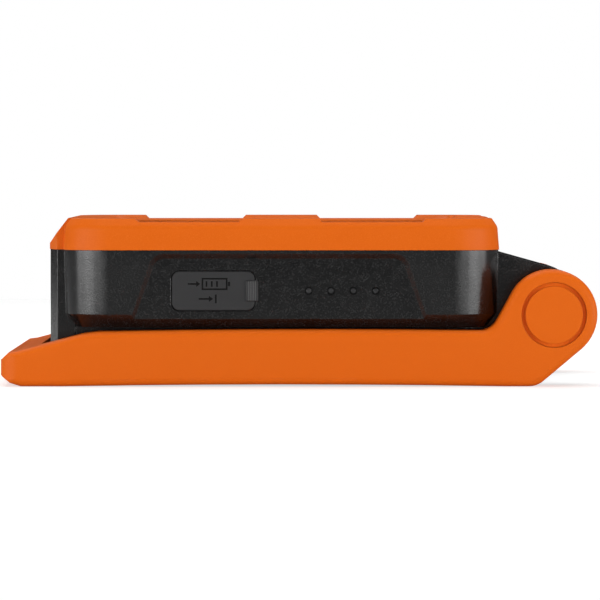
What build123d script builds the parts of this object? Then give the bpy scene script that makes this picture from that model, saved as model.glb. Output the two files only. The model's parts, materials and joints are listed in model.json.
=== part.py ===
"""Jump starter pack with a flood lamp face and a folding handle.

The pack lies on its folded handle with the lamp facing up.  +X runs from the handle's cross bar
to its pivots, +Y from the charging side to the output side, +Z up.  The origin is below the
middle of the whole object, on the surface that it stands on.  Sizes are in millimetres.
"""

import math
import os

from build123d import *

os.makedirs("parts", exist_ok=True)

# ---------------------------------------------------------------- driving dimensions
overall_length = 192.0
handle_width = 120.0

pack_length, pack_width = 140.7, 118.0
pack_x = -5.65  # middle of the pack along X
detail_x = -5.9  # middle of the guard pads
panel_x = -6.35  # middle of the recessed side panels
corner_radius = 14.5
wall = 3.6

keel_z = 7.0  # underside of the battery keel
floor_z = 18.9  # underside of the pack beside the keel
crease_z = 23.1  # where the side walls turn in
split_z = 43.75  # joint between housing and bezel
shoulder_z = 51.2  # where the bezel's walls turn in
notch_z = 52.8
top_z = 53.95

pivot_x, pivot_z = 82.0, 23.0
boss_x = 81.5
boss_radius = 14.5
ear_inner, ear_outer = 35.9, 46.9
arm_inner = 47.5
cap_radius, cap_raised_radius = 10.44, 9.2

port_z = 30.7  # height of the sockets and indicators
panel_y = 57.3  # recessed panel on each long side

board_z, board_thickness = 27.2, 1.6

# ---------------------------------------------------------------- derived values
housing_draft = 1.5
draft_in = (split_z - crease_z) * math.tan(math.radians(housing_draft))
bevel_in = 3.4
bevel_taper = math.degrees(math.atan(bevel_in / (crease_z - floor_z)))
keel_half, block_half = 43.5, 44.5
keel_start, keel_end = -76.0, 58.0
block_end = -72.6
keel_bevel = 1.6
ear_radius = 14.3
block_face = -81.0
cavity_half = keel_half - 2.5
screw_xs = (pack_x - 58.1, pack_x, pack_x + 58.1)
screw_y = 50.5
board_screw_spots = [(x, y) for x in (-44.0, 36.0) for y in (-47.0, 47.0)]
door_screw_spots = [(x, y) for x in (-61.0, 47.0) for y in (-33.0, 33.0)]
sink_screw_spots = [(pack_x + x, y) for x in (-62.5, 62.5) for y in (-30.0, 30.0)]
led_screw_spots = [(pack_x + x, y) for x in (-41.0, 41.0) for y in (-28.0, 28.0)]
column_spots = [(x, y) for x in screw_xs for y in (-screw_y, screw_y)]
board_top = board_z + board_thickness

flap_length, flap_height, flap_corner, flap_gap = 26.5, 12.5, 2.4, 0.4
input_flap_x = -41.0  # hinge edge of the charging flap
indicator_xs = [3.2 + 7.17 * n for n in range(4)]
output_flap_x = 30.0  # hinge edge of the output flap
output_flap_length = 34.0
button_x, button_radius = -22.0, 5.6
jump_z = 31.5
jump_flap_length, jump_flap_height = 33.0, 14.0
jump_pin_y, jump_bore = 6.5, 2.75


# ---------------------------------------------------------------- planes and helpers
def side_plane(side, distance):
    """A plane facing out of a long side, local x along the side and local y up."""
    return Plane(origin=(0, side * distance, 0), x_dir=(-side, 0, 0), z_dir=(0, side, 0))


def down_plane(height):
    return Plane(origin=(0, 0, height), x_dir=(1, 0, 0), z_dir=(0, 0, -1))


def end_plane(x):
    """A plane facing out of the cross bar end, local x along -Y and local y up."""
    return Plane(origin=(x, 0, 0), x_dir=(0, -1, 0), z_dir=(-1, 0, 0))


def write(part, name):
    part.label = name
    export_step(part, f"parts/{name}.step")


def block_outline(half, inset=0.0):
    """Plan of the end block, its outer corners cut back."""
    Polygon(
        (block_end, -half),
        (block_face + 2.7 + inset, -half),
        (block_face + inset, -half + 9.4),
        (block_face + inset, half - 9.4),
        (block_face + 2.7 + inset, half),
        (block_end, half),
        align=None,
    )


def ring_between(length, width, radius, band):
    """A rounded rectangular band round the middle of the pack."""
    with Locations((pack_x, 0)):
        RectangleRounded(length, width, radius)
        RectangleRounded(length - 2 * band, width - 2 * band, max(radius - band, 0.5), mode=Mode.SUBTRACT)


# ================================================================ housing
with BuildPart() as rear_housing:
    with BuildSketch(down_plane(split_z)):
        with Locations((pack_x, 0)):
            RectangleRounded(pack_length, pack_width, corner_radius)
    extrude(amount=split_z - crease_z, taper=housing_draft)
    with BuildSketch(down_plane(crease_z)):
        with Locations((pack_x, 0)):
            RectangleRounded(pack_length - 2 * draft_in, pack_width - 2 * draft_in, corner_radius - draft_in)
    extrude(amount=crease_z - floor_z, taper=bevel_taper)
    # battery keel and the end block that carries the jump socket, with a tapered underside
    with BuildSketch(Plane.XY.offset(keel_z + keel_bevel)) as keel_plan:
        with Locations(((keel_start + keel_end) / 2, 0)):
            RectangleRounded(keel_end - keel_start, 2 * keel_half, 4.0)
    extrude(amount=floor_z + 2 - keel_z - keel_bevel)
    with BuildSketch(Plane.XY.offset(keel_z + keel_bevel)):
        block_outline(block_half)
    extrude(amount=split_z - keel_z - keel_bevel)
    with BuildSketch(down_plane(keel_z + keel_bevel)):
        with Locations(((keel_start + keel_end) / 2, 0)):
            RectangleRounded(keel_end - keel_start, 2 * keel_half, 4.0)
    extrude(amount=keel_bevel, taper=40)
    with BuildSketch(down_plane(keel_z + keel_bevel)):
        block_outline(block_half)
    extrude(amount=keel_bevel, taper=40)
    # ears for the handle's pivots
    for side in (-1, 1):
        with BuildSketch(side_plane(side, ear_inner)):
            with Locations((-side * pivot_x, pivot_z)):
                Circle(ear_radius)
            with Locations((-side * 60.25, 25.8)):
                Rectangle(8.5, 33.9)
            make_hull()
        extrude(amount=ear_outer - ear_inner)
    # hollow inside
    with BuildSketch(Plane.XY.offset(floor_z + 2.5)):
        with Locations((pack_x, 0)):
            RectangleRounded(pack_length - 2 * wall, pack_width - 2 * wall, corner_radius - wall)
    extrude(amount=split_z - floor_z, mode=Mode.SUBTRACT)
    with BuildSketch(Plane.XY.offset(keel_z + 2.5)):
        with Locations((-7.5, 0)):
            RectangleRounded(125.0, 2 * cavity_half, 3.0)
    extrude(amount=20, mode=Mode.SUBTRACT)
    # seal groove in the rim
    with BuildSketch(down_plane(split_z)):
        ring_between(pack_length - 3.4, pack_width - 3.4, corner_radius - 1.7, 1.5)
    extrude(amount=1.2, mode=Mode.SUBTRACT)
    # columns for the case screws, and posts for the circuit board
    with BuildSketch(Plane.XY.offset(floor_z + 0.5)):
        with Locations(*column_spots):
            Circle(3.6)
    extrude(amount=42.0 - floor_z - 0.5)
    with BuildSketch(Plane.XY.offset(floor_z + 0.5)):
        with Locations(*board_screw_spots):
            Circle(2.4)
    extrude(amount=board_z - floor_z - 0.5)
    with BuildSketch(Plane.XY.offset(keel_z + 1.0)):
        with Locations(*door_screw_spots):
            Circle(2.4)
    extrude(amount=6.0)
    with BuildSketch(down_plane(42.5)):
        with Locations(*column_spots):
            Circle(1.7)
    extrude(amount=30, mode=Mode.SUBTRACT)
    with BuildSketch(Plane.XY.offset(floor_z - 1)):
        with Locations(*column_spots):
            Circle(3.1)
    extrude(amount=4.2, mode=Mode.SUBTRACT)
    with BuildSketch(down_plane(board_z)):
        with Locations(*board_screw_spots):
            Circle(1.0)
    extrude(amount=5.0, mode=Mode.SUBTRACT)
    # battery door opening with its ledge
    with BuildSketch(Plane.XY.offset(keel_z - 1)):
        with Locations((-7.0, 0)):
            RectangleRounded(118.0, 76.0, 4.0)
    extrude(amount=2.4, mode=Mode.SUBTRACT)
    with BuildSketch(Plane.XY.offset(keel_z - 1)):
        with Locations((-7.0, 0)):
            RectangleRounded(98.0, 60.0, 4.0)
    extrude(amount=4.0, mode=Mode.SUBTRACT)
    with BuildSketch(Plane.XY.offset(keel_z)):
        with Locations(*door_screw_spots):
            Circle(1.15)
    extrude(amount=6.0, mode=Mode.SUBTRACT)
    # recessed panel, flap seat and socket window on each long side
    for side in (-1, 1):
        middle = -side * panel_x
        with BuildSketch(side_plane(side, panel_y)) as panel:
            Polygon(
                (middle - 48.25, 17.0),
                (middle - 39.45, 41.0),
                (middle + 39.45, 41.0),
                (middle + 48.25, 17.0),
                align=None,
            )
            fillet(panel.vertices().group_by(Axis.Y)[-1], radius=3.5)
        extrude(amount=4.0, taper=-46, mode=Mode.SUBTRACT)
    with BuildSketch(side_plane(-1, panel_y)):
        with Locations((input_flap_x + flap_length / 2 + 0.25, port_z)):
            RectangleRounded(flap_length + 2 * flap_gap, flap_height + 2 * flap_gap, flap_corner + flap_gap)
    extrude(amount=-1.2, mode=Mode.SUBTRACT)
    with BuildSketch(side_plane(-1, panel_y)):
        with Locations((input_flap_x + flap_length / 2, port_z)):
            RectangleRounded(11.0, 5.4, 2.4)
    extrude(amount=-4.0, mode=Mode.SUBTRACT)
    with BuildSketch(side_plane(-1, panel_y)):
        with Locations(*[(x, port_z) for x in indicator_xs]):
            Circle(1.15)
    extrude(amount=-4.0, mode=Mode.SUBTRACT)
    with BuildSketch(side_plane(1, panel_y)):
        with Locations((-output_flap_x + output_flap_length / 2 + 0.25, port_z)):
            RectangleRounded(output_flap_length + 2 * flap_gap, flap_height + 2 * flap_gap, flap_corner + flap_gap)
    extrude(amount=-1.2, mode=Mode.SUBTRACT)
    with BuildSketch(side_plane(1, panel_y)):
        with Locations((-output_flap_x + output_flap_length / 2, port_z)):
            Rectangle(30.6, 6.2)
        with Locations((-button_x, port_z)):
            Circle(button_radius + 0.15)
    extrude(amount=-4.0, mode=Mode.SUBTRACT)
    # jump socket seat in the end block
    with BuildSketch(end_plane(block_face)):
        with Locations((0.25, jump_z)):
            RectangleRounded(jump_flap_length + 2 * flap_gap, jump_flap_height + 2 * flap_gap, flap_corner + flap_gap)
    extrude(amount=-1.6, mode=Mode.SUBTRACT)
    with BuildSketch(end_plane(block_face)):
        with Locations((0, jump_z)):
            RectangleRounded(26.0, 10.6, 1.0)
    extrude(amount=-10.0, mode=Mode.SUBTRACT)
    # pivot holes: a seat for each bush, a way for the screw and a pocket for the nut
    for side in (-1, 1):
        with BuildSketch(side_plane(side, ear_outer)):
            with Locations((-side * pivot_x, pivot_z)):
                Circle(5.0)
        extrude(amount=-5.0, mode=Mode.SUBTRACT)
        with BuildSketch(side_plane(side, ear_outer)):
            with Locations((-side * pivot_x, pivot_z)):
                Circle(2.65)
        extrude(amount=-12.0, mode=Mode.SUBTRACT)
        with BuildSketch(side_plane(side, ear_inner)):
            with Locations((-side * pivot_x, pivot_z)):
                RegularPolygon(radius=4.1, side_count=6, major_radius=False)
        extrude(amount=4.1, mode=Mode.SUBTRACT)
write(rear_housing.part, "rear_housing")

with BuildPart() as housing_seal:
    with BuildSketch(Plane.XY.offset(split_z - 1.2)):
        ring_between(pack_length - 3.5, pack_width - 3.5, corner_radius - 1.75, 1.4)
    extrude(amount=1.2)
write(housing_seal.part, "housing_seal")

# ================================================================ bezel, lens and lamp
bezel_flare = 0.6  # how far the bezel stands proud of the housing, both sides together
seat_z, lens_z, lens_thickness, gasket_thickness = 48.2, 48.4, 2.2, 0.6
lens_length, lens_width = 117.0, 94.0
window_length, window_width = 111.0, 88.0
lip_z = lens_z + lens_thickness + gasket_thickness
shoulder_in = 0.6

with BuildPart() as front_bezel:
    with BuildSketch(Plane.XY.offset(split_z)):
        with Locations((pack_x, 0)):
            RectangleRounded(pack_length + bezel_flare, pack_width + bezel_flare, corner_radius + 0.3)
    extrude(amount=shoulder_z - split_z, taper=math.degrees(math.atan(shoulder_in / (shoulder_z - split_z))))
    with BuildSketch(Plane.XY.offset(shoulder_z)):
        with Locations((pack_x, 0)):
            RectangleRounded(
                pack_length + bezel_flare - 2 * shoulder_in,
                pack_width + bezel_flare - 2 * shoulder_in,
                corner_radius - 0.3,
            )
    extrude(amount=top_z - shoulder_z, taper=34)
    fillet(front_bezel.edges().filter_by_position(Axis.Z, shoulder_z, shoulder_z), radius=3.0)
    fillet(front_bezel.edges().group_by(Axis.Z)[-1], radius=0.5)
    with BuildSketch(Plane.XY.offset(split_z)):
        block_outline(block_half + 0.3, inset=-0.2)
    extrude(amount=top_z - split_z)
    # sloping bumper over the end block
    with BuildSketch(Plane.XZ):
        Polygon((-90, 45.7), (block_face - 0.2, 45.7), (-74.8, top_z), (-74.8, 60), (-90, 60), align=None)
    extrude(amount=pack_width, both=True, mode=Mode.SUBTRACT)
    # hollow underside, lens seat and window
    with BuildSketch(Plane.XY.offset(split_z)):
        with Locations((pack_x, 0)):
            RectangleRounded(pack_length - 5.6, pack_width - 5.6, corner_radius - 2.8)
    extrude(amount=seat_z - split_z, mode=Mode.SUBTRACT)
    with BuildSketch(Plane.XY.offset(split_z)):
        with Locations((pack_x, 0)):
            RectangleRounded(lens_length + 0.4, lens_width + 0.4, 6.2)
    extrude(amount=lip_z - split_z, mode=Mode.SUBTRACT)
    with BuildSketch(Plane.XY.offset(split_z)):
        with Locations((pack_x, 0)):
            RectangleRounded(window_length, window_width, 5.0)
    extrude(amount=20, mode=Mode.SUBTRACT)
    with BuildSketch(Plane.XY.offset(lip_z + 0.9)):
        with Locations((pack_x, 0)):
            RectangleRounded(window_length, window_width, 5.0)
    extrude(amount=4, taper=-50, mode=Mode.SUBTRACT)
    # notches between the guard pads
    pad_middle, pad_long, pad_short = 13.4, 45.8, 34.4
    ramp = top_z - notch_z
    for side in (-1, 1):
        with BuildSketch(side_plane(side, 40.0)):
            for end in (-1, 1):
                Polygon(
                    (-side * detail_x + end * (pad_middle - ramp), top_z + 0.01),
                    (-side * detail_x + end * pad_middle, notch_z),
                    (-side * detail_x + end * pad_long, notch_z),
                    (-side * detail_x + end * (pad_long + ramp), top_z + 0.01),
                    align=None,
                )
        extrude(amount=25, mode=Mode.SUBTRACT)
    with BuildSketch(Plane.YZ.offset(pack_x + 50)):
        for end in (-1, 1):
            Polygon(
                (end * (pad_middle - ramp), top_z + 0.01),
                (end * pad_middle, notch_z),
                (end * pad_short, notch_z),
                (end * (pad_short + ramp), top_z + 0.01),
                align=None,
            )
    extrude(amount=25, mode=Mode.SUBTRACT)
    # posts for the case screws and for the heat sink
    with BuildSketch(Plane.XY.offset(42.1)):
        with Locations(*column_spots):
            Circle(3.4)
    extrude(amount=seat_z + 0.5 - 42.1)
    with BuildSketch(Plane.XY.offset(39.4)):
        with Locations(*sink_screw_spots):
            Circle(2.8)
    extrude(amount=seat_z + 0.5 - 39.4)
    with BuildSketch(Plane.XY.offset(42.1)):
        with Locations(*column_spots):
            Circle(1.27)
    extrude(amount=6.5, mode=Mode.SUBTRACT)
    with BuildSketch(Plane.XY.offset(39.4)):
        with Locations(*sink_screw_spots):
            Circle(1.02)
    extrude(amount=6.0, mode=Mode.SUBTRACT)
write(front_bezel.part, "front_bezel")

with BuildPart() as lens:
    with BuildSketch(Plane.XY.offset(lens_z)):
        with Locations((pack_x, 0)):
            RectangleRounded(lens_length, lens_width, 6.0)
    extrude(amount=lens_thickness)
write(lens.part, "lens")

with BuildPart() as lens_gasket:
    with BuildSketch(Plane.XY.offset(lens_z + lens_thickness)):
        ring_between(lens_length, lens_width, 6.0, (lens_length - window_length) / 2)
    extrude(amount=gasket_thickness)
write(lens_gasket.part, "lens_gasket")

led_board_z, led_board_top = 39.4, 41.0
reflector_foot = (66.0, 46.0)
reflector_mouth = (106.0, 83.0)
with BuildPart() as reflector:
    with BuildSketch(Plane.XY.offset(lens_z - 1.0)):
        ring_between(lens_length, lens_width, 6.0, 5.0)
    extrude(amount=1.0)
    for grow, mode in ((1.0, Mode.ADD), (0.0, Mode.SUBTRACT)):
        with BuildSketch(Plane.XY.offset(led_board_top)):
            with Locations((pack_x, 0)):
                RectangleRounded(reflector_foot[0] + 2 * grow, reflector_foot[1] + 2 * grow, 3.0)
        with BuildSketch(Plane.XY.offset(lens_z)):
            with Locations((pack_x, 0)):
                RectangleRounded(reflector_mouth[0] + 2 * grow, reflector_mouth[1] + 2 * grow, 5.0)
        loft(mode=mode)
write(reflector.part, "reflector")

with BuildPart() as led_board:
    with BuildSketch(Plane.XY.offset(led_board_z)):
        with Locations((pack_x, 0)):
            RectangleRounded(90.0, 64.0, 2.0)
        with Locations(*led_screw_spots):
            Circle(1.1, mode=Mode.SUBTRACT)
    extrude(amount=led_board_top - led_board_z)
write(led_board.part, "led_board")

with BuildPart() as led_chips:
    with BuildSketch(Plane.XY.offset(led_board_top)):
        with Locations((pack_x, 0)):
            with GridLocations(7.4, 8.2, 8, 5):
                RectangleRounded(3.4, 2.8, 0.3)
    extrude(amount=0.8)
write(led_chips.part, "led_chips")

with BuildPart() as heat_sink:
    with BuildSketch(Plane.XY.offset(37.4)):
        with Locations((pack_x, 0)):
            RectangleRounded(131.0, 68.0, 3.0)
        with Locations(*sink_screw_spots):
            Circle(1.15, mode=Mode.SUBTRACT)
    extrude(amount=2.0)
    with BuildSketch(Plane.XY.offset(34.4)):
        with Locations((pack_x, 0)):
            with GridLocations(0, 7.0, 1, 7):
                Rectangle(88.0, 1.2)
    extrude(amount=3.0)
    with BuildSketch(Plane.XY.offset(37.4)):
        with Locations(*led_screw_spots):
            Circle(0.82)
    extrude(amount=2.0, mode=Mode.SUBTRACT)
write(heat_sink.part, "heat_sink")


# ================================================================ fasteners
def pan_screws(name, head_plane, spots, head, shank, drive):
    """Writes a group of screws: heads, as (radius, height), stand on head_plane and shanks run along its normal."""
    with BuildPart() as screws:
        with BuildSketch(head_plane):
            with Locations(*spots):
                Circle(shank[0])
        extrude(amount=shank[1])
        with BuildSketch(head_plane):
            with Locations(*spots):
                Circle(head[0])
        extrude(amount=-head[1])
        with BuildSketch(head_plane.offset(-head[1])):
            with Locations(*spots):
                RegularPolygon(radius=drive, side_count=6)
        extrude(amount=head[1] * 0.55, mode=Mode.SUBTRACT)
    write(screws.part, name)


pan_screws("case_screws", Plane.XY.offset(floor_z + 3.2), column_spots, (2.8, 2.0), (1.25, 25.6), 1.3)
pan_screws("heat_sink_screws", Plane.XY.offset(37.4), sink_screw_spots, (2.1, 1.4), (1.0, 7.5), 1.0)
pan_screws("led_board_screws", down_plane(led_board_top), led_screw_spots, (1.8, 1.0), (0.8, 3.2), 0.8)
pan_screws("board_screws", down_plane(board_top), board_screw_spots, (1.9, 1.3), (0.98, 6.0), 0.9)

# ================================================================ battery
door_z = keel_z + 1.4
with BuildPart() as battery_door:
    with BuildSketch(Plane.XY.offset(keel_z)):
        with Locations((-7.0, 0)):
            RectangleRounded(117.5, 75.5, 3.8)
    extrude(amount=door_z - keel_z - 0.05)
    with BuildSketch(Plane.XY.offset(keel_z)):
        with Locations((-7.0, 0)):
            with GridLocations(7.0, 0, 13, 1):
                RectangleRounded(2.2, 52.0, 1.09)
    extrude(amount=0.6, mode=Mode.SUBTRACT)
    with BuildSketch(Plane.XY.offset(keel_z)):
        with Locations(*door_screw_spots):
            Circle(1.35)
    extrude(amount=3, mode=Mode.SUBTRACT)
    with BuildSketch(Plane.XY.offset(keel_z)):
        with Locations(*door_screw_spots):
            Circle(2.4)
    extrude(amount=1.0, taper=44, mode=Mode.SUBTRACT)
write(battery_door.part, "battery_door")

with BuildPart() as battery_door_screws:
    with BuildSketch(Plane.XY.offset(keel_z + 0.1)):
        with Locations(*door_screw_spots):
            Circle(2.2)
    extrude(amount=0.9, taper=44)
    with BuildSketch(Plane.XY.offset(keel_z + 0.1)):
        with Locations(*door_screw_spots):
            Circle(1.1)
    extrude(amount=5.0)
    with BuildSketch(Plane.XY.offset(keel_z + 0.1)):
        with Locations(*door_screw_spots):
            RegularPolygon(radius=0.8, side_count=6)
    extrude(amount=1.0, mode=Mode.SUBTRACT)
write(battery_door_screws.part, "battery_door_screws")

tray_z, cell_thickness, cell_pitch = 9.6, 4.6, 4.8
tray_x = -8.0
with BuildPart() as battery_tray:
    with BuildSketch(Plane.XY.offset(tray_z)):
        with Locations((tray_x, 0)):
            RectangleRounded(99.0, 77.0, 2.5)
    extrude(amount=15.4)
    with BuildSketch(Plane.XY.offset(tray_z + 1.2)):
        with Locations((tray_x + 5.0, 0)):
            Rectangle(106.0, 74.6)
    extrude(amount=20, mode=Mode.SUBTRACT)
    with BuildSketch(Plane.XY.offset(tray_z)):
        with Locations((tray_x, 0)):
            with GridLocations(24, 18, 4, 4):
                RectangleRounded(19.0, 13.0, 2.0)
    extrude(amount=2, mode=Mode.SUBTRACT)
write(battery_tray.part, "battery_tray")

cell_base = tray_z + 1.3
cell_levels = [cell_base + n * cell_pitch for n in range(3)]
with BuildPart() as battery_cells:
    for level in cell_levels:
        with BuildSketch(Plane.XY.offset(level)):
            with Locations((tray_x, 0)):
                RectangleRounded(94.0, 73.0, 3.0)
        extrude(amount=cell_thickness)
write(battery_cells.part, "battery_cells")

with BuildPart() as cell_tabs:
    for level in cell_levels:
        with BuildSketch(Plane.XY.offset(level + 2.2)):
            with Locations((tray_x + 47.0 + 2.2, -18.0), (tray_x + 47.0 + 2.2, 18.0)):
                Rectangle(4.4, 9.0)
        extrude(amount=0.3)
write(cell_tabs.part, "cell_tabs")

with BuildPart() as protection_board:
    with BuildSketch(Plane.YZ.offset(tray_x + 47.0 + 4.4)):
        with Locations((0, 17.6)):
            Rectangle(60.0, 14.0)
    extrude(amount=1.4)
write(protection_board.part, "protection_board")

with BuildPart() as battery_pad:
    with BuildSketch(Plane.XY.offset(cell_levels[-1] + cell_thickness)):
        with Locations((tray_x, 0)):
            RectangleRounded(84.0, 60.0, 2.0)
    extrude(amount=board_z - cell_levels[-1] - cell_thickness - 0.1)
write(battery_pad.part, "battery_pad")

# ================================================================ circuit board and what is on it
board_half = 53.5
lead_radius = 1.8
with BuildPart() as circuit_board:
    with BuildSketch(Plane.XY.offset(board_z)):
        with Locations((-6.0, 0)):
            RectangleRounded(128.0, 2 * board_half, 9.0)
        with Locations(*column_spots):
            Circle(4.3, mode=Mode.SUBTRACT)
        for spot_x, side in [(x, s) for x in screw_xs for s in (-1, 1)]:
            with Locations((spot_x, side * 54.0)):
                Rectangle(8.6, 7.0, mode=Mode.SUBTRACT)
        for side in (-1, 1):
            for spot_x in (screw_xs[0], screw_xs[2]):
                with Locations((spot_x + math.copysign(6.0, spot_x), side * 54.0)):
                    Rectangle(12.0, 14.4, mode=Mode.SUBTRACT)
        with Locations((-66.0, 0)):
            Rectangle(20.0, 30.0, mode=Mode.SUBTRACT)
        with Locations((button_x, 55.0)):
            Rectangle(15.0, 8.0, mode=Mode.SUBTRACT)
        with Locations(*board_screw_spots):
            Circle(1.1, mode=Mode.SUBTRACT)
    extrude(amount=board_thickness)
write(circuit_board.part, "circuit_board")

with BuildPart() as board_parts:
    # power transistors in two rows, the boost coil, the controller and two tall capacitors
    with BuildSketch(Plane.XY.offset(board_top)):
        with Locations((-42.0, 0)):
            with GridLocations(8.0, 12.0, 2, 3):
                Rectangle(5.0, 6.0)
    extrude(amount=1.2)
    with BuildSketch(Plane.XY.offset(board_top)):
        with Locations((30.0, 22.0)):
            RectangleRounded(10.0, 10.0, 1.5)
        with Locations((10.0, 0.0)):
            Rectangle(9.0, 9.0)
        with Locations((30.0, -24.0), (38.0, -24.0)):
            Circle(2.6)
    extrude(amount=4.0)
write(board_parts.part, "board_parts")


def side_solid(name, side, spots, outline, outer, depth, hole=None):
    """Writes identical solids behind a long side: outline is (length, height, corner radius)."""
    with BuildPart() as item:
        with BuildSketch(side_plane(side, outer)):
            with Locations(*[(-side * x, z) for x, z in spots]):
                RectangleRounded(*outline)
        extrude(amount=-depth)
        if hole:
            with BuildSketch(side_plane(side, outer)):
                with Locations(*[(-side * x, z) for x, z in spots]):
                    RectangleRounded(*hole[:3])
            extrude(amount=-hole[3], mode=Mode.SUBTRACT)
            with BuildSketch(side_plane(side, outer - 1.0)):
                with Locations(*[(-side * x, z) for x, z in spots]):
                    Rectangle(hole[0] * 0.72, 0.7)
            extrude(amount=-depth + 1.5)
    write(item.part, name)


usb_c_x = input_flap_x + flap_length / 2
usb_a_xs = [output_flap_x - output_flap_length / 2 + offset for offset in (-7.6, 7.6)]
side_solid("usb_c_jack", -1, [(usb_c_x, board_top + 1.62)], (9.0, 3.2, 1.5), 54.8, 7.4, (8.4, 2.6, 1.25, 6.0))
side_solid("usb_a_jacks", 1, [(x, board_top + 2.6) for x in usb_a_xs], (13.2, 5.1, 0.6), 54.6, 13.0, (12.4, 4.4, 0.3, 11.0))
side_solid("indicator_leds", -1, [(x, port_z) for x in indicator_xs], (2.4, 1.6, 0.2), 47.2, 1.6)

with BuildPart() as light_pipes:
    with BuildSketch(side_plane(-1, 47.4)):
        with Locations(*[(x, port_z) for x in indicator_xs]):
            Circle(1.1)
    extrude(amount=panel_y - 0.35 - 47.4)
    pipe_tips = light_pipes.faces().sort_by(Axis.Y)[0:4]
    fillet(pipe_tips.edges(), radius=0.5)
    with BuildSketch(side_plane(-1, 49.0)):
        with Locations(((indicator_xs[0] + indicator_xs[-1]) / 2, port_z)):
            Rectangle(28.0, 3.4)
    extrude(amount=2.0)
write(light_pipes.part, "light_pipes")

with BuildPart() as power_switch:
    with BuildSketch(side_plane(1, 50.6)):
        with Locations((-button_x, port_z + 0.6)):
            RectangleRounded(6.2, 5.0, 0.5)
    extrude(amount=-3.4)
    with BuildSketch(side_plane(1, 50.6)):
        with Locations((-button_x, port_z)):
            Circle(1.6)
    extrude(amount=0.9)
write(power_switch.part, "power_switch")

# ================================================================ jump socket
with BuildPart() as jump_socket:
    with BuildSketch(end_plane(block_face + 1.7)):
        with Locations((0, jump_z)):
            RectangleRounded(25.8, 10.4, 0.9)
    extrude(amount=-15.0)
    with BuildSketch(end_plane(block_face + 1.7)):
        with Locations((-jump_pin_y, jump_z), (jump_pin_y, jump_z)):
            Circle(3.6)
    extrude(amount=-15.0, mode=Mode.SUBTRACT)
    # keyway between the two pins
    with BuildSketch(end_plane(block_face + 1.7)):
        with Locations((0, jump_z + 4.4)):
            Rectangle(3.0, 2.0)
    extrude(amount=-4.0, mode=Mode.SUBTRACT)
write(jump_socket.part, "jump_socket")

with BuildPart() as jump_terminals:
    with BuildSketch(end_plane(block_face + 2.4)):
        with Locations((-jump_pin_y, jump_z), (jump_pin_y, jump_z)):
            Circle(3.6)
    extrude(amount=-18.6)
    with BuildSketch(end_plane(block_face + 2.4)):
        with Locations((-jump_pin_y, jump_z), (jump_pin_y, jump_z)):
            Circle(jump_bore)
    extrude(amount=-12.0, mode=Mode.SUBTRACT)
write(jump_terminals.part, "jump_terminals")


# ================================================================ leads inside the case
def lead(name, points, radii, radius):
    """Writes an insulated lead along straight runs joined by arcs."""
    with BuildPart() as wire:
        with BuildLine() as route:
            FilletPolyline(*points, radius=radii)
        with BuildSketch(Plane(origin=route.line @ 0, z_dir=route.line % 0)):
            Circle(radius)
        sweep()
    write(wire.part, name)


stub_x = block_face + 2.4 + 16.4
protection_face = tray_x + 47.0 + 5.8
for name, side in (("jump_lead_positive", 1), ("jump_lead_negative", -1)):
    lead(
        name,
        [
            (protection_face, side * 24.0, 18.0),
            (protection_face + 5.2, side * 24.0, 18.0),
            (protection_face + 5.2, side * 35.0, 23.9),
            (protection_face - 6.0, side * 42.4, 23.9),
            (stub_x, side * 42.4, 23.9),
            (stub_x, side * jump_pin_y, 23.9),
            (stub_x, side * jump_pin_y, jump_z - 3.6),
        ],
        [2.3, 4.5, 6.0, 7.0, 2.6],
        lead_radius,
    )
for name, offset in (("lamp_lead_positive", 16.0), ("lamp_lead_negative", 20.0)):
    lead(
        name,
        [
            (pack_x + offset, -29.0, led_board_top + 0.7),
            (pack_x + offset, -37.5, led_board_top + 0.7),
            (pack_x + offset, -37.5, board_top),
        ],
        [3.0],
        0.65,
    )


# ================================================================ flaps and button
def flap(name, plane, length, height, tongue, tab_end, tab_size):
    """Writes a rubber port cover: a plate with a pull tab on its free end and a plug behind."""
    with BuildPart() as cover:
        with BuildSketch(plane.offset(-1.0)):
            with Locations((length / 2, 0)):
                RectangleRounded(length, height, flap_corner)
        extrude(amount=1.15)
        fillet(cover.faces().sort_by(Axis(plane.origin, plane.z_dir))[-1].edges(), radius=0.3)
        with BuildSketch(plane.offset(0.12)):
            with Locations((length - tab_size[0] / 2 + tab_end, 0)):
                RectangleRounded(tab_size[0], tab_size[1], 0.5)
        extrude(amount=0.75)
        tab_top = cover.faces().sort_by(Axis(plane.origin, plane.z_dir))[-1]
        fillet(tab_top.edges().filter_by(Axis(plane.origin, plane.y_dir)), radius=0.6)
        with BuildSketch(plane.offset(-1.0)):
            with Locations((length / 2, 0)):
                RectangleRounded(tongue[0], tongue[1], tongue[2])
        extrude(amount=-tongue[3])
    write(cover.part, name)


input_hinge = Plane(origin=(input_flap_x + 0.25, -panel_y, port_z), x_dir=(1, 0, 0), z_dir=(0, -1, 0))
flap("input_flap", input_hinge, flap_length, flap_height, (9.6, 4.0, 1.8, 0.9), 1.2, (4.0, 6.9))
output_hinge = Plane(origin=(output_flap_x - 0.25, panel_y, port_z), x_dir=(-1, 0, 0), z_dir=(0, 1, 0))
flap("output_flap", output_hinge, output_flap_length, flap_height, (28.0, 4.6, 1.0, 0.9), 1.2, (4.0, 6.9))
jump_hinge = Plane(origin=(block_face, jump_flap_length / 2 - 0.25, jump_z), x_dir=(0, -1, 0), z_dir=(-1, 0, 0))
flap("jump_flap", jump_hinge, jump_flap_length, jump_flap_height, (20.0, 5.0, 1.4, 0.4), 1.2, (4.5, 8.0))

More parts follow.
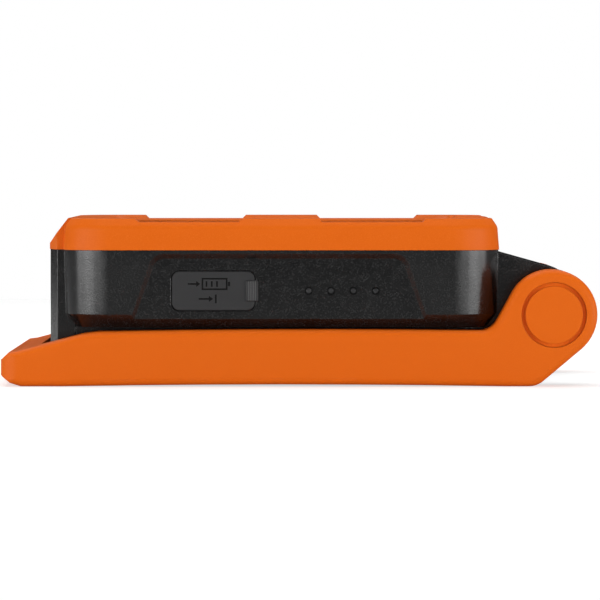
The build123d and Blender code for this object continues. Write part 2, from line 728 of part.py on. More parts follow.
with BuildPart() as power_button:
    with BuildSketch(side_plane(1, 54.0)):
        with Locations((-button_x, port_z)):
            Circle(button_radius + 1.2)
    extrude(amount=1.3)
    with BuildSketch(side_plane(1, 52.4)):
        with Locations((-button_x, port_z)):
            Circle(button_radius)
    extrude(amount=panel_y + 0.9 - 52.4)
    fillet(power_button.faces().sort_by(Axis.Y)[-1].edges(), radius=0.6)
write(power_button.part, "power_button")

# ================================================================ handle
arm_top = 17.9
edge_round = 2.2
grip_inner = -83.5  # inner face of the cross bar
heel_slope, neck_slope = math.radians(40.0), math.radians(58.5)
heel_x = boss_x + boss_radius * math.sin(heel_slope)
heel_z = pivot_z - boss_radius * math.cos(heel_slope)
foot_x = heel_x - heel_z / math.tan(heel_slope)
neck_x = boss_x - boss_radius * math.sin(neck_slope)
neck_z = pivot_z + boss_radius * math.cos(neck_slope)
throat_x = neck_x - (neck_z - arm_top) / math.tan(neck_slope) + 0.7
rib_xs = [-66.0 + 21.0 * n for n in range(7)]

with BuildPart() as handle_frame:
    with BuildSketch(Plane.XZ) as handle_profile:
        with BuildLine():
            Line((neck_x, neck_z), (throat_x, arm_top))
            ThreePointArc((throat_x, arm_top), (5.0, 18.3), (-64.5, 17.6))
            Polyline(
                (-64.5, 17.6),
                (-69.0, 17.0),
                (-90.6, 11.3),
                (-93.2, 11.0),
                (-96.0, 8.4),
                (-96.0, 3.6),
                (-93.0, 1.1),
                (-89.5, 0.0),
                (-76.0, 0.0),
            )
            ThreePointArc((-76.0, 0.0), (-5.0, 0.6), (66.0, 0.0))
            Polyline((66.0, 0.0), (foot_x, 0.0), (heel_x, heel_z))
            ThreePointArc(
                (heel_x, heel_z),
                (boss_x + boss_radius * math.cos(0.4), pivot_z + boss_radius * math.sin(0.4)),
                (neck_x, neck_z),
            )
        make_face()
        fillet(handle_profile.vertices().sort_by_distance((throat_x, arm_top, 0))[0], radius=6.0)
        fillet(handle_profile.vertices().sort_by_distance((foot_x, 0, 0))[0], radius=7.0)
    extrude(amount=handle_width / 2, both=True)
    for outer_face in handle_frame.faces().filter_by(Axis.Y):
        fillet(outer_face.outer_wire().edges(), radius=edge_round)
    with BuildSketch(Plane.XY.offset(-5)):
        with Locations((20.0, 0)):
            RectangleRounded(232.0, handle_width, 5.5)
    extrude(amount=60, mode=Mode.INTERSECT)
    with BuildSketch(Plane.XY.offset(-5)):
        with Locations((grip_inner + 100.0, 0)):
            RectangleRounded(200.0, 2 * arm_inner, 5.0)
    extrude(amount=60, mode=Mode.SUBTRACT)
    # cored from below, with ribs, and from the inside of the cross bar
    with BuildSketch(Plane.XY.offset(-1)):
        for side in (-1, 1):
            for rib_x in rib_xs:
                with Locations((rib_x, side * 53.6)):
                    RectangleRounded(18.6, 7.2, 1.2)
    extrude(amount=16.4, mode=Mode.SUBTRACT)
    with BuildSketch(end_plane(grip_inner)):
        with Locations((0, 5.6)):
            with GridLocations(19.0, 0, 4, 1):
                RectangleRounded(17.0, 5.2, 1.0)
    extrude(amount=8.6, mode=Mode.SUBTRACT)
    # pivot bores, each with a seat for its cap
    for side in (-1, 1):
        with BuildSketch(side_plane(side, handle_width / 2)):
            with Locations((-side * pivot_x, pivot_z)):
                Circle(cap_radius + 0.06)
        extrude(amount=-6.0, mode=Mode.SUBTRACT)
        with BuildSketch(side_plane(side, handle_width / 2)):
            with Locations((-side * pivot_x, pivot_z)):
                Circle(5.06)
        extrude(amount=-16.0, mode=Mode.SUBTRACT)
write(handle_frame.part, "handle_frame")


# ================================================================ pivots
def pivot_pair(name, steps, hexagon=None):
    """Writes a pair of turned pieces; steps are (inner face, outer face, radius, mode)."""
    with BuildPart() as pair:
        for start, end, radius, mode in steps:
            for side in (-1, 1):
                with BuildSketch(side_plane(side, start)):
                    with Locations((-side * pivot_x, pivot_z)):
                        Circle(radius)
                extrude(amount=end - start, mode=mode)
        if hexagon:
            for side in (-1, 1):
                with BuildSketch(side_plane(side, hexagon[0])):
                    with Locations((-side * pivot_x, pivot_z)):
                        RegularPolygon(radius=hexagon[2], side_count=6, major_radius=False)
                extrude(amount=hexagon[1] - hexagon[0], mode=hexagon[3])
    write(pair.part, name)


add_it, cut_it = Mode.ADD, Mode.SUBTRACT
bush_inner, bush_outer = 41.9, 54.05
washer_outer = bush_outer + 1.0
cap_step = handle_width / 2 - 1.0
pivot_pair("pivot_bushes", [(bush_inner, bush_outer, 5.0, add_it), (bush_inner, bush_outer, 2.6, cut_it)])
pivot_pair("friction_washers", [(46.95, 47.45, 12.0, add_it), (46.95, 47.45, 5.2, cut_it)])
pivot_pair("head_washers", [(bush_outer, washer_outer, 9.5, add_it), (bush_outer, washer_outer, 2.7, cut_it)])
pivot_pair(
    "pivot_screws",
    [(ear_inner, washer_outer, 2.5, add_it), (washer_outer, washer_outer + 2.4, 4.5, add_it)],
    (washer_outer + 0.9, washer_outer + 2.4, 1.5, cut_it),
)
with BuildPart() as pivot_nuts:
    for side in (-1, 1):
        with BuildSketch(side_plane(side, ear_inner)):
            with Locations((-side * pivot_x, pivot_z)):
                RegularPolygon(radius=4.0, side_count=6, major_radius=False)
                Circle(2.5, mode=Mode.SUBTRACT)
        extrude(amount=4.0)
write(pivot_nuts.part, "pivot_nuts")
pivot_pair(
    "pivot_caps",
    [
        (washer_outer + 1.0, cap_step, cap_radius, add_it),
        (cap_step, handle_width / 2, cap_raised_radius, add_it),
        (washer_outer + 1.0, cap_step - 1.0, cap_radius - 1.2, cut_it),
    ],
)
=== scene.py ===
"""Looks of the jump starter pack: materials, marks, lamp details, light and camera round the CAD frame.

Everything is in metres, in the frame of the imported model.  +X runs from the handle's cross bar to
its pivots, +Y from the charging side to the output side, +Z up.
"""

import json
import math

import bmesh
import bpy
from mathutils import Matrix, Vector


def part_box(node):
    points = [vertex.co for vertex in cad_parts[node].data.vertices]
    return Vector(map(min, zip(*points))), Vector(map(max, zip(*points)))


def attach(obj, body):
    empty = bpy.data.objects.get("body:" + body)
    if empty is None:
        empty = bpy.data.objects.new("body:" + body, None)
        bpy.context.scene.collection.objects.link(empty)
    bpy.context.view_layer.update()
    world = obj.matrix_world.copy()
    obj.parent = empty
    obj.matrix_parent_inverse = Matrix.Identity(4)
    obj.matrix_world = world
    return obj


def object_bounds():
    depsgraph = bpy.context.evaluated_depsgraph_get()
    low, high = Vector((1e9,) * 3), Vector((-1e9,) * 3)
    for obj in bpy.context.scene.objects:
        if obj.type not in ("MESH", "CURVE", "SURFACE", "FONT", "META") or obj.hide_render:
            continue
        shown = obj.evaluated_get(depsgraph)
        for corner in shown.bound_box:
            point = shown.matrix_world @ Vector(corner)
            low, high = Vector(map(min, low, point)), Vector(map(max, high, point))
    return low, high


MM = 0.001
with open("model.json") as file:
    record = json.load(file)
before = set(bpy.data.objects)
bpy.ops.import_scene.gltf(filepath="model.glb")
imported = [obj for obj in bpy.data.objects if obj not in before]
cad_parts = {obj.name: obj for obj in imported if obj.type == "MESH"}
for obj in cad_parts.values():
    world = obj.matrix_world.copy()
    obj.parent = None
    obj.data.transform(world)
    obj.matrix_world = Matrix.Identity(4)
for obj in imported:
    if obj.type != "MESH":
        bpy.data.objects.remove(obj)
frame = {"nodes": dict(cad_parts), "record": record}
nodes = frame["nodes"]
cad_low, cad_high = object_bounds()


# ---------------------------------------------------------------- node helpers
class Shader:
    """A material and short ways to add and join its nodes."""

    def __init__(self, name):
        self.material = bpy.data.materials.new(name)
        self.material.use_nodes = True
        self.tree = self.material.node_tree
        self.tree.nodes.clear()
        self.output = self.add("ShaderNodeOutputMaterial")
        self.shader = self.add("ShaderNodeBsdfPrincipled")
        self.join(self.shader.outputs["BSDF"], self.output.inputs["Surface"])
        self.place = self.add("ShaderNodeTexCoord").outputs["Object"]

    def add(self, kind, **inputs):
        node = self.tree.nodes.new(kind)
        for key, value in inputs.items():
            node.inputs[key.replace("_", " ")].default_value = value
        return node

    def join(self, start, end):
        self.tree.links.new(start, end)

    def stretched(self, scale):
        """Object coordinates scaled by a different amount along each axis."""
        mapping = self.add("ShaderNodeMapping")
        mapping.inputs["Scale"].default_value = scale
        self.join(self.place, mapping.inputs["Vector"])
        return mapping.outputs["Vector"]

    def noise(self, size, detail=2.0, roughness=0.5, vector=None):
        """Noise whose features are about size metres across."""
        node = self.add("ShaderNodeTexNoise", Scale=1.0 / size, Detail=detail, Roughness=roughness)
        self.join(vector or self.place, node.inputs["Vector"])
        return node.outputs["Fac"]

    def cells(self, size):
        """Distance from the middle of cells about size metres across."""
        node = self.add("ShaderNodeTexVoronoi", Scale=1.0 / size)
        self.join(self.place, node.inputs["Vector"])
        return node.outputs["Distance"]

    def ramp(self, value, low, high, out_low, out_high):
        """Maps low..high of a value to out_low..out_high."""
        node = self.add("ShaderNodeMapRange")
        limits = {"From Min": low, "From Max": high, "To Min": out_low, "To Max": out_high}
        for socket, number in limits.items():
            node.inputs[socket].default_value = number
        self.join(value, node.inputs["Value"])
        return node.outputs["Result"]

    def blend(self, factor, first, second):
        """Mixes two colours, each a tuple or a socket."""
        node = self.add("ShaderNodeMix")
        node.data_type = "RGBA"
        colour_inputs = [socket for socket in node.inputs if socket.type == "RGBA"]
        for socket, colour in zip(colour_inputs, (first, second)):
            if isinstance(colour, tuple):
                socket.default_value = (*colour, 1.0)
            else:
                self.join(colour, socket)
        self.join(factor, node.inputs[0])
        return next(socket for socket in node.outputs if socket.type == "RGBA")

    def colour(self, value):
        self.join(value, self.shader.inputs["Base Color"])

    def roughness(self, value):
        self.join(value, self.shader.inputs["Roughness"])

    def set(self, **values):
        for key, value in values.items():
            self.shader.inputs[key.replace("_", " ")].default_value = value

    def rounded(self, radius):
        """A normal that softens sharp edges over a radius."""
        node = self.add("ShaderNodeBevel", Radius=radius)
        node.samples = 4
        return node.outputs["Normal"]

    def bump(self, height, distance, under=None):
        """Raises the surface by up to distance metres, on top of an earlier normal."""
        node = self.add("ShaderNodeBump", Strength=1.0, Distance=distance)
        self.join(height, node.inputs["Height"])
        if under is not None:
            self.join(under, node.inputs["Normal"])
        self.join(node.outputs["Normal"], self.shader.inputs["Normal"])

    def edge_mask(self, radius):
        """1 along sharp outer edges, 0 on flat faces."""
        soft = self.rounded(radius)
        true = self.add("ShaderNodeNewGeometry").outputs["True Normal"]
        dot = self.add("ShaderNodeVectorMath")
        dot.operation = "DOT_PRODUCT"
        self.join(soft, dot.inputs[0])
        self.join(true, dot.inputs[1])
        return self.ramp(dot.outputs["Value"], 0.75, 0.98, 1.0, 0.0)


# ---------------------------------------------------------------- materials
def moulded_plastic(
    name, colour, lighter, grain, grain_depth, roughness, edge=0.35 * MM, specular=0.5, wear_and_highlight_share=0.3
):
    """Moulded plastic: a fine spark-eroded grain, faint flow mottling and paler edges, partly rubbed wear and
    partly painted highlight.
    """
    s = Shader(name)
    mottle = s.noise(14 * MM, detail=3.0)
    speck = s.noise(grain, detail=1.0)
    shade = s.blend(s.ramp(mottle, 0.3, 0.7, 0.0, 0.12), colour, lighter)
    shade = s.blend(s.ramp(speck, 0.5, 0.72, 0.0, 0.8), shade, lighter)
    # edges are drawn paler: partly rubbed wear, partly a painted highlight where a rounded edge would catch
    # the light
    wear_and_highlight_edges = s.edge_mask(edge)
    s.colour(s.blend(s.ramp(wear_and_highlight_edges, 0.0, 1.0, 0.0, wear_and_highlight_share), shade, lighter))
    s.roughness(s.ramp(s.noise(3 * MM, detail=4.0), 0.3, 0.7, roughness - 0.05, roughness + 0.05))
    s.set(Specular_IOR_Level=specular)
    s.bump(speck, grain_depth, under=s.rounded(edge))
    return s.material


def soft_rubber(name, colour, lighter, roughness=0.62, specular=0.35):
    """Matt rubber with a close grain and faint bloom."""
    s = Shader(name)
    fine = s.noise(0.35 * MM, detail=2.0)
    bloom = s.noise(5 * MM, detail=4.0)
    s.colour(s.blend(s.ramp(bloom, 0.3, 0.7, 0.0, 0.4), s.blend(fine, colour, lighter), lighter))
    s.roughness(s.ramp(fine, 0.3, 0.7, roughness - 0.08, roughness + 0.06))
    s.set(Specular_IOR_Level=specular)
    s.bump(fine, 0.03 * MM, under=s.rounded(0.25 * MM))
    return s.material


def metal(name, colour, darker, roughness, stretch=(1.0, 1.0, 1.0), size=0.5 * MM, depth=0.01 * MM):
    """Bare or plated metal; stretch draws its marks out along an axis, as turning or brushing does."""
    s = Shader(name)
    marks = s.noise(size, detail=4.0, vector=s.stretched(stretch))
    stain = s.noise(4 * MM, detail=3.0)
    s.colour(s.blend(s.ramp(stain, 0.35, 0.75, 0.0, 0.8), colour, darker))
    s.roughness(s.ramp(marks, 0.3, 0.7, roughness - 0.07, roughness + 0.1))
    s.set(Metallic=1.0)
    s.bump(marks, depth, under=s.rounded(0.15 * MM))
    return s.material


def clear_lens():
    """Polished clear plastic with faint moulding waves."""
    s = Shader("clear_lens")
    s.set(Transmission_Weight=1.0, IOR=1.49, Base_Color=(0.95, 0.97, 0.97, 1.0))
    s.roughness(s.ramp(s.noise(9 * MM, detail=3.0), 0.3, 0.7, 0.015, 0.05))
    s.bump(s.noise(16 * MM, detail=1.0), 0.04 * MM)
    return s.material


def metallised_reflector():
    """Vacuum metallised plastic with a fine peened texture."""
    s = Shader("reflector_silver")
    peen = s.cells(1.7 * MM)
    s.colour(s.blend(s.ramp(s.noise(8 * MM), 0.3, 0.7, 0.0, 1.0), (0.83, 0.84, 0.85), (0.74, 0.75, 0.77)))
    s.roughness(s.ramp(peen, 0.1, 0.8, 0.13, 0.22))
    s.set(Metallic=1.0)
    s.bump(peen, 0.10 * MM)
    return s.material


def coated_board(name, colour, trace):
    """Circuit board laminate: tracks show faintly under the coating."""
    s = Shader(name)
    grid = s.add("ShaderNodeTexBrick", Scale=1.0 / (4.5 * MM))
    grid.inputs["Mortar Size"].default_value = 0.045
    s.join(s.place, grid.inputs["Vector"])
    s.colour(s.blend(grid.outputs["Fac"], colour, trace))
    s.roughness(s.ramp(s.noise(1.2 * MM, detail=3.0), 0.3, 0.7, 0.22, 0.36))
    s.bump(grid.outputs["Fac"], 0.03 * MM)
    return s.material


def glossy_plastic(name, colour, lighter, roughness=0.22):
    """Smooth moulded plastic or cable insulation with slight unevenness in colour and gloss."""
    s = Shader(name)
    s.colour(s.blend(s.ramp(s.noise(2.5 * MM, detail=3.0), 0.3, 0.7, 0.0, 1.0), colour, lighter))
    s.roughness(s.ramp(s.noise(0.8 * MM, detail=2.0), 0.3, 0.7, roughness - 0.05, roughness + 0.08))
    s.bump(s.noise(1.1 * MM, detail=2.0), 0.006 * MM, under=s.rounded(0.15 * MM))
    return s.material


def phosphor():
    """Lamp chip phosphor under its silicone dome."""
    s = Shader("led_phosphor")
    grit = s.ramp(s.noise(0.25 * MM), 0.35, 0.65, 0.0, 1.0)
    s.colour(s.blend(grit, (0.86, 0.66, 0.10), (0.93, 0.80, 0.25)))
    s.roughness(s.ramp(s.noise(0.5 * MM), 0.3, 0.7, 0.18, 0.3))
    s.set(Coat_Weight=0.6)
    s.bump(s.noise(0.3 * MM), 0.02 * MM)
    return s.material


BLACK, BLACK_LIGHT = (0.0010, 0.0010, 0.0011), (0.026, 0.026, 0.0263)
ORANGE, ORANGE_LIGHT = (0.72, 0.122, 0.003), (0.77, 0.150, 0.010)

finishes = [
    moulded_plastic("black_plastic", BLACK, BLACK_LIGHT, 0.42 * MM, 0.012 * MM, 0.23),
    moulded_plastic(
        "orange_plastic", ORANGE, ORANGE_LIGHT, 0.30 * MM, 0.012 * MM, 0.48,
        edge=0.5 * MM, specular=0.12, wear_and_highlight_share=0.8,
    ),
    moulded_plastic(
        "orange_cap", ORANGE, ORANGE_LIGHT, 0.30 * MM, 0.012 * MM, 0.45,
        edge=0.3 * MM, specular=0.12, wear_and_highlight_share=0.8,
    ),
    moulded_plastic(
        "button_plastic", ORANGE, ORANGE_LIGHT, 0.25 * MM, 0.01 * MM, 0.4,
        edge=0.3 * MM, specular=0.12, wear_and_highlight_share=0.8,
    ),
    moulded_plastic("tray_plastic", (0.02, 0.02, 0.021), BLACK_LIGHT, 0.3 * MM, 0.02 * MM, 0.4),
    moulded_plastic("switch_plastic", (0.02, 0.02, 0.021), BLACK_LIGHT, 0.3 * MM, 0.02 * MM, 0.35),
    moulded_plastic("components", (0.02, 0.02, 0.022), (0.05, 0.05, 0.05), 0.2 * MM, 0.01 * MM, 0.5),
    moulded_plastic(
        "acetal_white", (0.72, 0.71, 0.66), (0.80, 0.79, 0.75), 0.3 * MM, 0.008 * MM, 0.35
    ),
    soft_rubber("flap_rubber", (0.017, 0.017, 0.018), (0.028, 0.028, 0.029)),
    # paler rubber for the pull tab ribs: the paler colour is a painted highlight on the rounded tab
    soft_rubber("rib_rubber_painted_highlight", (0.060, 0.060, 0.061), (0.085, 0.085, 0.086)),
    # dark ink for the printed marks; also used for the painted shade rings round the indicator lights
    soft_rubber("ink_and_painted_shade", (0.002, 0.002, 0.002), (0.005, 0.005, 0.005), specular=0.1),
    soft_rubber("seal_rubber", (0.015, 0.015, 0.015), (0.028, 0.028, 0.028)),
    soft_rubber("pad_foam", (0.05, 0.05, 0.052), (0.09, 0.09, 0.09), 0.8),
    clear_lens(),
    metallised_reflector(),
    phosphor(),
    coated_board("white_solder_mask", (0.80, 0.81, 0.79), (0.70, 0.71, 0.69)),
    coated_board("coated_track", (0.66, 0.67, 0.62), (0.58, 0.59, 0.55)),
    coated_board("green_board", (0.012, 0.13, 0.06), (0.02, 0.20, 0.09)),
    metal(
        "heat_sink_aluminium", (0.72, 0.73, 0.74), (0.58, 0.59, 0.60), 0.34, stretch=(0.08, 1.0, 1.0)
    ),
    metal("zinc_steel", (0.62, 0.62, 0.60), (0.48, 0.48, 0.47), 0.3),
    metal("dark_steel", (0.10, 0.10, 0.105), (0.06, 0.06, 0.062), 0.36),
    metal("port_steel", (0.66, 0.66, 0.67), (0.52, 0.52, 0.53), 0.24, stretch=(1.0, 0.1, 1.0)),
    metal("brass_contact", (0.82, 0.60, 0.26), (0.62, 0.42, 0.15), 0.25),
    metal("cell_foil", (0.60, 0.61, 0.63), (0.50, 0.51, 0.53), 0.38, size=1.5 * MM, depth=0.03 * MM),
    metal("nickel_tab", (0.66, 0.63, 0.58), (0.52, 0.50, 0.46), 0.26, stretch=(0.1, 1.0, 1.0)),
    metal("bush_steel", (0.56, 0.56, 0.56), (0.42, 0.42, 0.42), 0.28, stretch=(1.0, 0.1, 1.0)),
    glossy_plastic("pipe_clear", (0.022, 0.022, 0.023), (0.045, 0.045, 0.046), 0.2),
    glossy_plastic("led_body", (0.78, 0.79, 0.77), (0.70, 0.72, 0.70)),
    glossy_plastic("red_insulation", (0.46, 0.012, 0.010), (0.56, 0.02, 0.015), 0.32),
    glossy_plastic("black_insulation", (0.012, 0.012, 0.012), (0.022, 0.022, 0.022), 0.32),
]
# the frame's own materials hold the plain names, so Blender adds a number to these
made = {finish.name.split(".")[0]: finish for finish in finishes}

for entry in frame["record"]["subparts"]:
    mesh = nodes[entry["node"]].data
    mesh.materials.clear()
    mesh.materials.append(made[entry["material_slot"]])


# ---------------------------------------------------------------- marks on the covers and button
class Face:
    """A flat drawing face: right and up as seen from outside, and the direction out of it."""

    def __init__(self, centre, right, out, up=(0, 0, 1)):
        self.centre, self.right, self.out, self.up = Vector(centre), Vector(right), Vector(out), Vector(up)

    def point(self, spot, height):
        """A point spot millimetres right and up of the centre, and height metres out."""
        return self.centre + (self.right * spot[0] + self.up * spot[1]) * MM + self.out * height


def side_points(points, width, closed):
    """Left and right edges of a line of the given width, mitred at its corners."""
    sharpest_mitre = 0.3  # keeps a very sharp corner from running out to a spike
    points = [Vector(point) for point in points]
    count = len(points)
    left, right = [], []
    for n, point in enumerate(points):
        runs = []
        if n > 0 or closed:
            runs.append((point - points[n - 1]).normalized())
        if n < count - 1 or closed:
            runs.append((points[(n + 1) % count] - point).normalized())
        normals = [Vector((-run.y, run.x)) for run in runs]
        across = sum(normals, Vector((0.0, 0.0))).normalized()
        across *= width / 2 / max(across.dot(normals[0]), sharpest_mitre)
        left.append(point + across)
        right.append(point - across)
    return left, right


def add_line(bm, face, points, width, sunk, proud, closed=False):
    """Adds one raised line as a closed solid."""
    left, right = side_points(points, width, closed)
    rings = []
    for a, b in zip(left, right):
        corners = [(a, proud), (b, proud), (b, -sunk), (a, -sunk)]
        rings.append([bm.verts.new(face.point(spot, height)) for spot, height in corners])
    pairs = list(zip(rings, rings[1:]))
    if closed:
        pairs.append((rings[-1], rings[0]))
    for first, second in pairs:
        for n in range(4):
            m = (n + 1) % 4
            bm.faces.new((first[n], first[m], second[m], second[n]))
    if not closed:
        bm.faces.new(rings[0])
        bm.faces.new(reversed(rings[-1]))


def add_plate(bm, face, outline, sunk, proud):
    """Adds one raised shape with a filled outline as a closed solid."""
    top = [bm.verts.new(face.point(spot, proud)) for spot in outline]
    bottom = [bm.verts.new(face.point(spot, -sunk)) for spot in outline]
    bm.faces.new(top)
    bm.faces.new(reversed(bottom))
    for n in range(len(outline)):
        m = (n + 1) % len(outline)
        bm.faces.new((top[n], top[m], bottom[m], bottom[n]))


def raised(name, body, material, face, lines=(), loops=(), plates=(), width=0.5, sunk=0.06, proud=0.03):
    """A piece made of raised lines, closed loops and filled plates on one face, riding on a body."""
    bm = bmesh.new()
    for points in lines:
        add_line(bm, face, points, width, sunk * MM, proud * MM)
    for points in loops:
        add_line(bm, face, points, width, sunk * MM, proud * MM, closed=True)
    for outline in plates:
        add_plate(bm, face, outline, sunk * MM, proud * MM)
    bmesh.ops.recalc_face_normals(bm, faces=bm.faces)
    mesh = bpy.data.meshes.new(name)
    bm.to_mesh(mesh)
    bm.free()
    mesh.materials.append(made[material])
    piece = bpy.data.objects.new(name, mesh)
    bpy.context.scene.collection.objects.link(piece)
    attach(piece, body)


def rectangle(u, v, half_wide, half_tall):
    """Corners of a rectangle, centred on a point."""
    return [(u - half_wide, v - half_tall), (u + half_wide, v - half_tall),
            (u + half_wide, v + half_tall), (u - half_wide, v + half_tall)]


def battery_outline(u, v):
    """A battery's outline and its terminal, centred on a point."""
    return rectangle(u, v, 3.9, 1.7), rectangle(u + 4.675, v, 0.325, 0.7)


def arrow(u, v, length):
    """A shaft line and a filled head, pointing right."""
    head_long, head_half = 1.3, 0.95
    tip = u + length / 2
    neck = tip - head_long
    return [(u - length / 2, v), (neck, v)], [(neck, v - head_half), (tip, v), (neck, v + head_half)]


tab_step = 0.72 * MM  # how far each pull tab stands out from its cover
tab_half = 2.0 * MM
in_low, in_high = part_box("input_flap")
out_low, out_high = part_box("output_flap")
jump_low, jump_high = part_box("jump_flap")
button_low, button_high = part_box("power_button")
port_z = (in_low.z + in_high.z) / 2
tab_clear = 2.2 * MM  # the marks are centred this far back from the middle, clear of the tab

# input cover: a battery being charged, and the way in
input_face = Face(
    ((in_low.x + in_high.x) / 2 - tab_clear, in_low.y + tab_step, port_z), (1, 0, 0), (0, -1, 0)
)
cell, nub = battery_outline(2.0, 2.2)
shaft, head = arrow(-4.6, 2.2, 4.0)
bars = [[(u, 1.3), (u, 3.1)] for u in (-0.6, 1.1, 2.8)]
in_shaft, in_head = arrow(-0.8, -2.6, 4.6)
raised(
    "input_cover_marks", "input_flap_body", "ink_and_painted_shade", input_face,
    lines=[shaft, in_shaft, [(2.4, -4.0), (2.4, -1.2)]] + bars, loops=[cell], plates=[nub, head, in_head],
)

# output cover: a battery giving charge, and the way out
output_face = Face(((out_low.x + out_high.x) / 2, out_high.y - tab_step, port_z), (-1, 0, 0), (0, 1, 0))
cell, nub = battery_outline(-4.0, 2.2)
shaft, head = arrow(3.9, 2.2, 4.0)
bars = [[(u, 1.3), (u, 3.1)] for u in (-6.6, -4.9, -3.2)]
out_shaft, out_head = arrow(0.6, -2.6, 4.6)
raised(
    "output_cover_marks", "output_flap_body", "ink_and_painted_shade", output_face,
    lines=[shaft, out_shaft, [(-2.4, -4.0), (-2.4, -1.2)]] + bars, loops=[cell], plates=[nub, head, out_head],
)

# jump cover: the signs of its two contacts and a bolt between them
jump_face = Face(
    (jump_low.x + tab_step, (jump_low.y + jump_high.y) / 2, (jump_low.z + jump_high.z) / 2),
    (0, -1, 0),
    (-1, 0, 0),
)
bolt = [(0.5, 3.6), (-2.0, -0.5), (-0.2, -0.5), (-0.9, -3.6), (2.0, 0.6), (0.2, 0.6), (1.1, 3.6)]
plus = [(-9.4, 0.4), (-7.4, 0.4), (-7.4, 2.4), (-6.6, 2.4), (-6.6, 0.4), (-4.6, 0.4),
        (-4.6, -0.4), (-6.6, -0.4), (-6.6, -2.4), (-7.4, -2.4), (-7.4, -0.4), (-9.4, -0.4)]
minus = [(4.6, 0.4), (9.4, 0.4), (9.4, -0.4), (4.6, -0.4)]
raised("jump_cover_marks", "jump_flap_body", "ink_and_painted_shade", jump_face, plates=[bolt, plus, minus])

# power button: a broken ring with a bar
button_face = Face(
    ((button_low.x + button_high.x) / 2, button_high.y, (button_low.z + button_high.z) / 2),
    (-1, 0, 0),
    (0, 1, 0),
)
ring_radius, ring_parts = 2.3, 28
ring_turns = [math.radians(130 + 280 * n / ring_parts) for n in range(ring_parts + 1)]
ring = [(ring_radius * math.cos(turn), ring_radius * math.sin(turn)) for turn in ring_turns]
raised(
    "power_button_mark", "power_button_body", "ink_and_painted_shade", button_face,
    lines=[ring, [(0.0, 0.4), (0.0, 3.0)]],
)

# a dark ring painted round each indicator light as painted shade, standing in for the shade in the groove
# round it
led_low, led_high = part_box("indicator_leds")
pipe_low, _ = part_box("light_pipes")
led_half = 1.2 * MM
panel_step = 0.35 * MM  # how far the light pipes stop behind the panel's face
first_light, last_light = led_low.x + led_half, led_high.x - led_half
light_face = Face(
    ((first_light + last_light) / 2, pipe_low.y - panel_step, (led_low.z + led_high.z) / 2),
    (1, 0, 0),
    (0, -1, 0),
)
light_pitch = (last_light - first_light) / 3 / MM
rim_radius, rim_parts = 1.2, 32
rim_turns = [2 * math.pi * n / rim_parts for n in range(rim_parts)]
rims = [
    [(along * light_pitch + rim_radius * math.cos(turn), rim_radius * math.sin(turn)) for turn in rim_turns]
    for along in (-1.5, -0.5, 0.5, 1.5)
]
# painted shade: these dark rings stand in for shade round the light holes, not for print
raised("indicator_painted_shade_rings", "pack", "ink_and_painted_shade", light_face, loops=rims, width=0.24)

# white packages, solder pads and coated tracks round the lamp's chips
chips_low, chips_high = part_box("led_chips")
chip_columns, chip_rows = 8, 5
chip_half = Vector((1.7, 1.4))  # millimetres, as is all that is drawn on a Face
package_edge = 0.2  # from a chip's side to the middle of its package's wall
pad_out, pad_half_wide, pad_half_tall = 2.45, 0.35, 0.8  # distance from the chip's middle, and half sizes
chips_middle = (chips_low + chips_high) / 2
board_face = Face((chips_middle.x, chips_middle.y, chips_low.z), (1, 0, 0), (0, 0, 1), up=(0, 1, 0))
first_column = (chips_low.x - chips_middle.x) / MM + chip_half.x
first_row = (chips_low.y - chips_middle.y) / MM + chip_half.y
spots = [
    (first_column * (1 - 2 * column / (chip_columns - 1)), first_row * (1 - 2 * row / (chip_rows - 1)))
    for column in range(chip_columns)
    for row in range(chip_rows)
]
raised(
    "led_packages", "pack", "led_body", board_face, width=0.34, sunk=0.0, proud=0.5,
    loops=[rectangle(u, v, chip_half.x + package_edge, chip_half.y + package_edge) for u, v in spots],
)
raised(
    "led_solder_pads", "pack", "zinc_steel", board_face, sunk=0.0, proud=0.16,
    plates=[
        rectangle(u + side * pad_out, v, pad_half_wide, pad_half_tall) for u, v in spots for side in (-1, 1)
    ],
)
columns = sorted({u for u, v in spots})
rows = sorted({v for u, v in spots})
track_start, track_long = 2.9, 1.6  # from a chip's middle to its pad's outer edge, and on to the next pad
raised(
    "led_tracks", "pack", "coated_track", board_face, width=0.9, sunk=0.0, proud=0.05,
    lines=[[(u + track_start, v), (u + track_start + track_long, v)] for u in columns[:-1] for v in rows],
)

# fine ribs moulded on the pull tabs, drawn paler than the cover as a painted highlight on the tab's rounded
# face
tab_faces = {
    "input": Face((in_high.x - tab_half, in_low.y, port_z), (1, 0, 0), (0, -1, 0)),
    "output": Face((out_low.x + tab_half, out_high.y, port_z), (-1, 0, 0), (0, 1, 0)),
    "jump": Face((jump_low.x, jump_low.y + tab_half, jump_face.centre.z), (0, -1, 0), (-1, 0, 0)),
}
rib_half_tall = 3.1
for name, face in tab_faces.items():
    rib_lines = [[(u, -rib_half_tall), (u, rib_half_tall)] for u in (-1.1, -0.55, 0.0, 0.55, 1.1)]
    raised(
        name + "_tab_ribs", name + "_flap_body", "rib_rubber_painted_highlight", face,
        lines=rib_lines, width=0.34, sunk=0.1, proud=0.1,
    )


# ---------------------------------------------------------------- floor, light and camera
def area_light(name, place, target, size, power):
    """A white rectangular soft box at a place, turned to a target."""
    data = bpy.data.lights.new(name, "AREA")
    data.shape = "RECTANGLE"
    data.size, data.size_y = size
    data.energy = power
    lamp = bpy.data.objects.new(name, data)
    lamp.location = place
    lamp.rotation_euler = (Vector(target) - Vector(place)).to_track_quat("-Z", "Y").to_euler()
    bpy.context.scene.collection.objects.link(lamp)


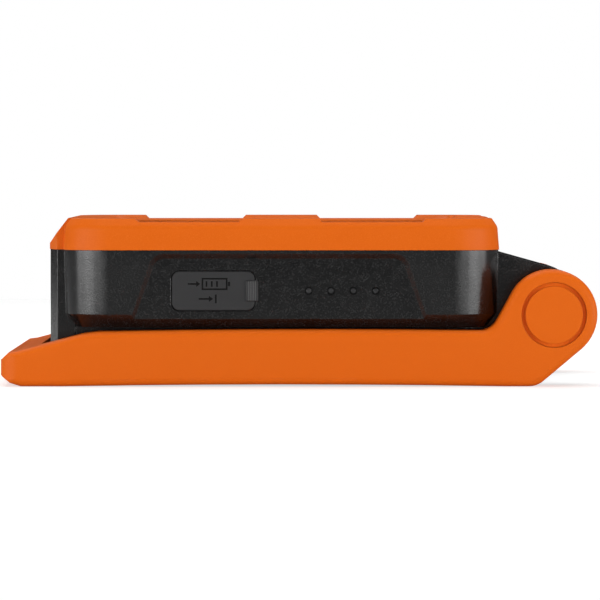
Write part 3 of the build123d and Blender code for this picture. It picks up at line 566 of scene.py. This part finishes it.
def pale_floor():
    """A white disc that glows a little to the camera, so that shadows on it stay faint."""
    s = Shader("floor_pale")
    s.colour(s.blend(s.ramp(s.noise(0.4), 0.3, 0.7, 0.0, 1.0), (0.56, 0.56, 0.56), (0.58, 0.58, 0.58)))
    s.roughness(s.ramp(s.noise(0.05), 0.3, 0.7, 0.75, 0.85))
    s.set(Specular_IOR_Level=0.1, Emission_Color=(1.0, 1.0, 1.0, 1.0))
    to_camera = s.add("ShaderNodeLightPath").outputs["Is Camera Ray"]
    glow_as_light, glow_to_camera = 0.05, 0.62
    s.join(s.ramp(to_camera, 0.0, 1.0, glow_as_light, glow_to_camera), s.shader.inputs["Emission Strength"])
    radius, sides = 1.0, 96
    turns = [2 * math.pi * n / sides for n in range(sides)]
    rim = [(radius * math.cos(turn), radius * math.sin(turn), 0.0) for turn in turns]
    mesh = bpy.data.meshes.new("floor")
    mesh.from_pydata(rim, [], [tuple(range(sides))])
    mesh.materials.append(s.material)
    floor = bpy.data.objects.new("floor", mesh)
    floor.location = (0.0, -0.1, cad_low.z - 0.1 * MM)
    bpy.context.scene.collection.objects.link(floor)


def studio():
    """Soft boxes round the pack and a pale surround.

    Three low boxes stand on either side of the camera, two high ones behind the pack and one above it.
    The surround is white to the camera but dim as a light, so that black plastic stays black.
    """
    light_of_surround, white_to_camera = 0.05, 1.0
    world = bpy.data.worlds.new("studio")
    world.use_nodes = True
    tree = world.node_tree
    path = tree.nodes.new("ShaderNodeLightPath")
    strength = tree.nodes.new("ShaderNodeMapRange")
    strength.inputs["To Min"].default_value = light_of_surround
    strength.inputs["To Max"].default_value = white_to_camera
    tree.links.new(path.outputs["Is Camera Ray"], strength.inputs["Value"])
    background = tree.nodes["Background"]
    background.inputs["Color"].default_value = (1.0, 1.0, 1.0, 1.0)
    tree.links.new(strength.outputs["Result"], background.inputs["Strength"])
    bpy.context.scene.world = world
    bpy.context.scene.view_settings.view_transform = "Standard"
    middle = (0.0, 0.0, 0.03)
    low_boxes = ((28.5, 2.3), (51.5, 5.2), (74.5, 3.3))  # degrees round from the camera, and watts
    low_distance, low_height, low_size = 1.08, 0.05, (0.44, 0.32)
    back_turn, back_height, back_size, back_power = math.radians(30.0), 1.0, (0.7, 0.7), 3.0
    top_height, top_size, top_power = 1.1, (1.2, 1.0), 8.5
    for side, name in ((-1, "left"), (1, "right")):
        for box, (degrees, power) in enumerate(low_boxes):
            turn = math.radians(degrees)
            place = (low_distance * side * math.sin(turn), -low_distance * math.cos(turn), low_height)
            area_light(f"{name}_box_{box}", place, middle, low_size, power)
        place = (side * math.sin(back_turn), math.cos(back_turn), back_height)
        area_light(f"{name}_back_box", place, middle, back_size, back_power)
    area_light("top_box", (0.0, 0.0, top_height), middle, top_size, top_power)


def photo_camera():
    """A long lens, nearly level with the pack and square to its charging side."""
    near_side = -59.0 * MM
    distance = 1428.0 * MM
    height = 70.5 * MM
    to_left = 2.2 * MM
    tilt_down, turn_right = 1.713, 0.103  # degrees
    data = bpy.data.cameras.new("camera")
    data.sensor_width = 36.0
    data.lens = 266.9
    data.clip_start, data.clip_end = 0.05, 50.0
    camera = bpy.data.objects.new("camera", data)
    camera.location = (-to_left, near_side - distance, height)
    camera.rotation_euler = (math.radians(90.0 - tilt_down), 0.0, math.radians(-turn_right))
    bpy.context.scene.collection.objects.link(camera)
    bpy.context.scene.camera = camera


pale_floor()
studio()
photo_camera()
